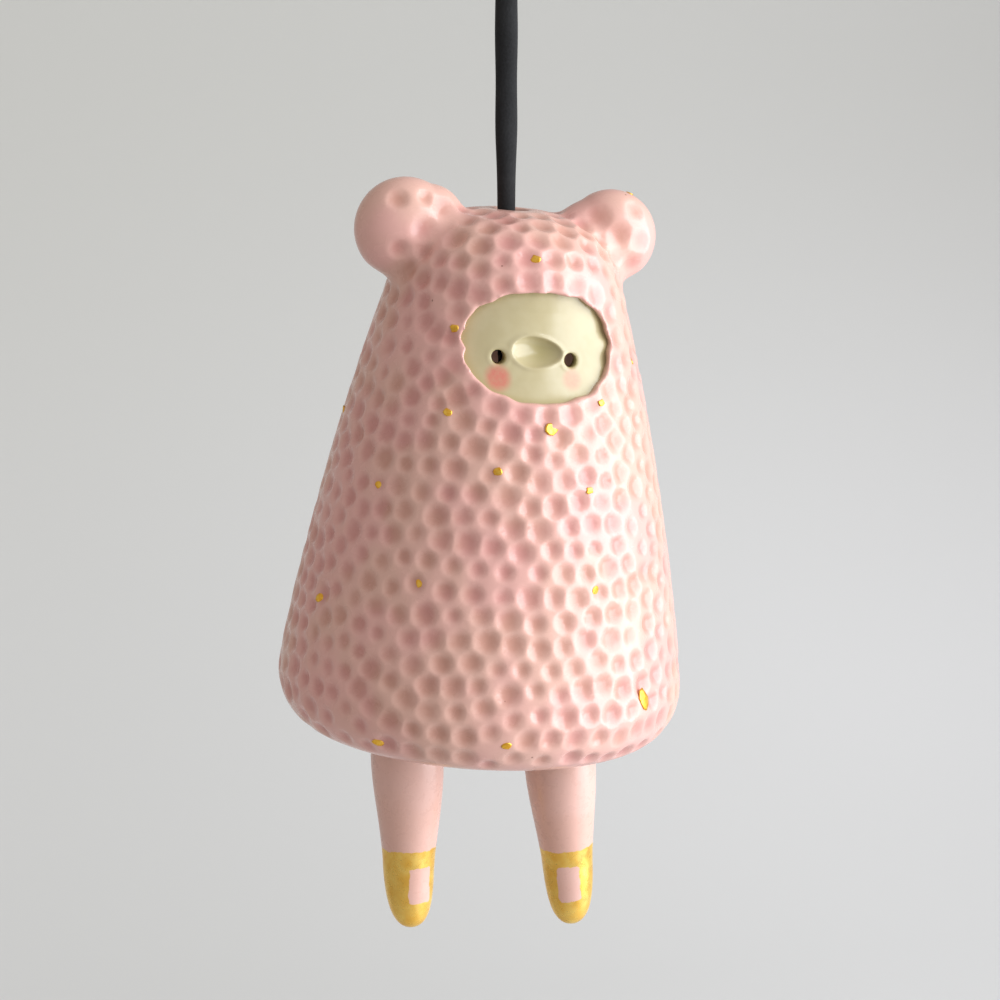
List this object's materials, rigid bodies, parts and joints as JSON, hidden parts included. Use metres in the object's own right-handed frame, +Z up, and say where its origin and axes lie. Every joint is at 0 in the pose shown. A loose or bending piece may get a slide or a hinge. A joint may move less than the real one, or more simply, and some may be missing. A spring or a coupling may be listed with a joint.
{
  "type": "hanging porcelain bell",
  "caption": "Hanging porcelain figure bell: dimpled hood with round ears and a sunk face, two leg clappers inside, on a knotted cord.",
  "frame": {"origin": "inner top of the hanging loop, where a hook or nail carries the bell", "axes": "+Z up along the cord, -Y the way the face looks, +X to the left of the figure, which is a viewer's right"},
  "size_m": [0.0606, 0.0608, 0.1763],
  "materials": {
    "hood_glaze": "gloss",
    "face_glaze": "gloss",
    "leg_glaze": "gloss",
    "biscuit_clay": "matte",
    "cord": "matte",
    "bead_wood": "satin",
    "washer_leather": "matte",
    "waxed_thread": "matte",
    "kiln_wire": "satin"
  },
  "bodies": {
    "hanger": {"hanging_loop": "cord", "loop_knot": "cord", "hanging_cord": "cord", "stopper_knot": "cord"},
    "bead": {"stopper_bead": "bead_wood"},
    "washer": {"stopper_washer": "washer_leather"},
    "bell": {"bell_shell": "hood_glaze", "left_ear": "hood_glaze", "right_ear": "hood_glaze", "face_panel": "face_glaze", "clapper_bridge": "biscuit_clay"},
    "left_thread": {"left_leg_thread": "waxed_thread"},
    "left_tie": {"left_leg_tie": "waxed_thread"},
    "left_leg": {"left_leg": "leg_glaze", "left_leg_eye": "kiln_wire"},
    "right_thread": {"right_leg_thread": "waxed_thread"},
    "right_tie": {"right_leg_tie": "waxed_thread"},
    "right_leg": {"right_leg": "leg_glaze", "right_leg_eye": "kiln_wire"}
  },
  "joints": [
    {"name": "bell_turn", "type": "hinge", "parent": "hanger", "child": "bead", "pos_m": [0, 0, -0.0721], "axis": [0, 0, 1], "continuous": true},
    {"name": "bell_roll", "type": "hinge", "parent": "bead", "child": "washer", "pos_m": [0, 0, -0.0721], "axis": [0, 1, 0], "range_deg": [-9.3, 1.3]},
    {"name": "bell_pitch", "type": "hinge", "parent": "washer", "child": "bell", "pos_m": [0, 0, -0.0721], "axis": [1, 0, 0], "range_deg": [-2.8, 2.8]},
    {"name": "left_leg_kick", "type": "hinge", "parent": "bell", "child": "left_thread", "pos_m": [-0.01557, 0, -0.11702], "axis": [0.9976, 0, -0.0698], "range_deg": [-10, 10]},
    {"name": "left_leg_twist", "type": "hinge", "parent": "left_thread", "child": "left_tie", "pos_m": [-0.01557, 0, -0.12562], "axis": [0, 0, 1], "range_deg": [-45, 45]},
    {"name": "left_leg_swing", "type": "hinge", "parent": "left_tie", "child": "left_leg", "pos_m": [-0.01557, 0, -0.12777], "axis": [0, 1, 0], "range_deg": [-12, 12]},
    {"name": "right_leg_kick", "type": "hinge", "parent": "bell", "child": "right_thread", "pos_m": [0.00917, 0, -0.11875], "axis": [0.9976, 0, -0.0698], "range_deg": [-10, 10]},
    {"name": "right_leg_twist", "type": "hinge", "parent": "right_thread", "child": "right_tie", "pos_m": [0.00917, 0, -0.12805], "axis": [0, 0, 1], "range_deg": [-45, 45]},
    {"name": "right_leg_swing", "type": "hinge", "parent": "right_tie", "child": "right_leg", "pos_m": [0.00917, 0, -0.1302], "axis": [0, 1, 0], "range_deg": [-7, 12]}
  ]
}
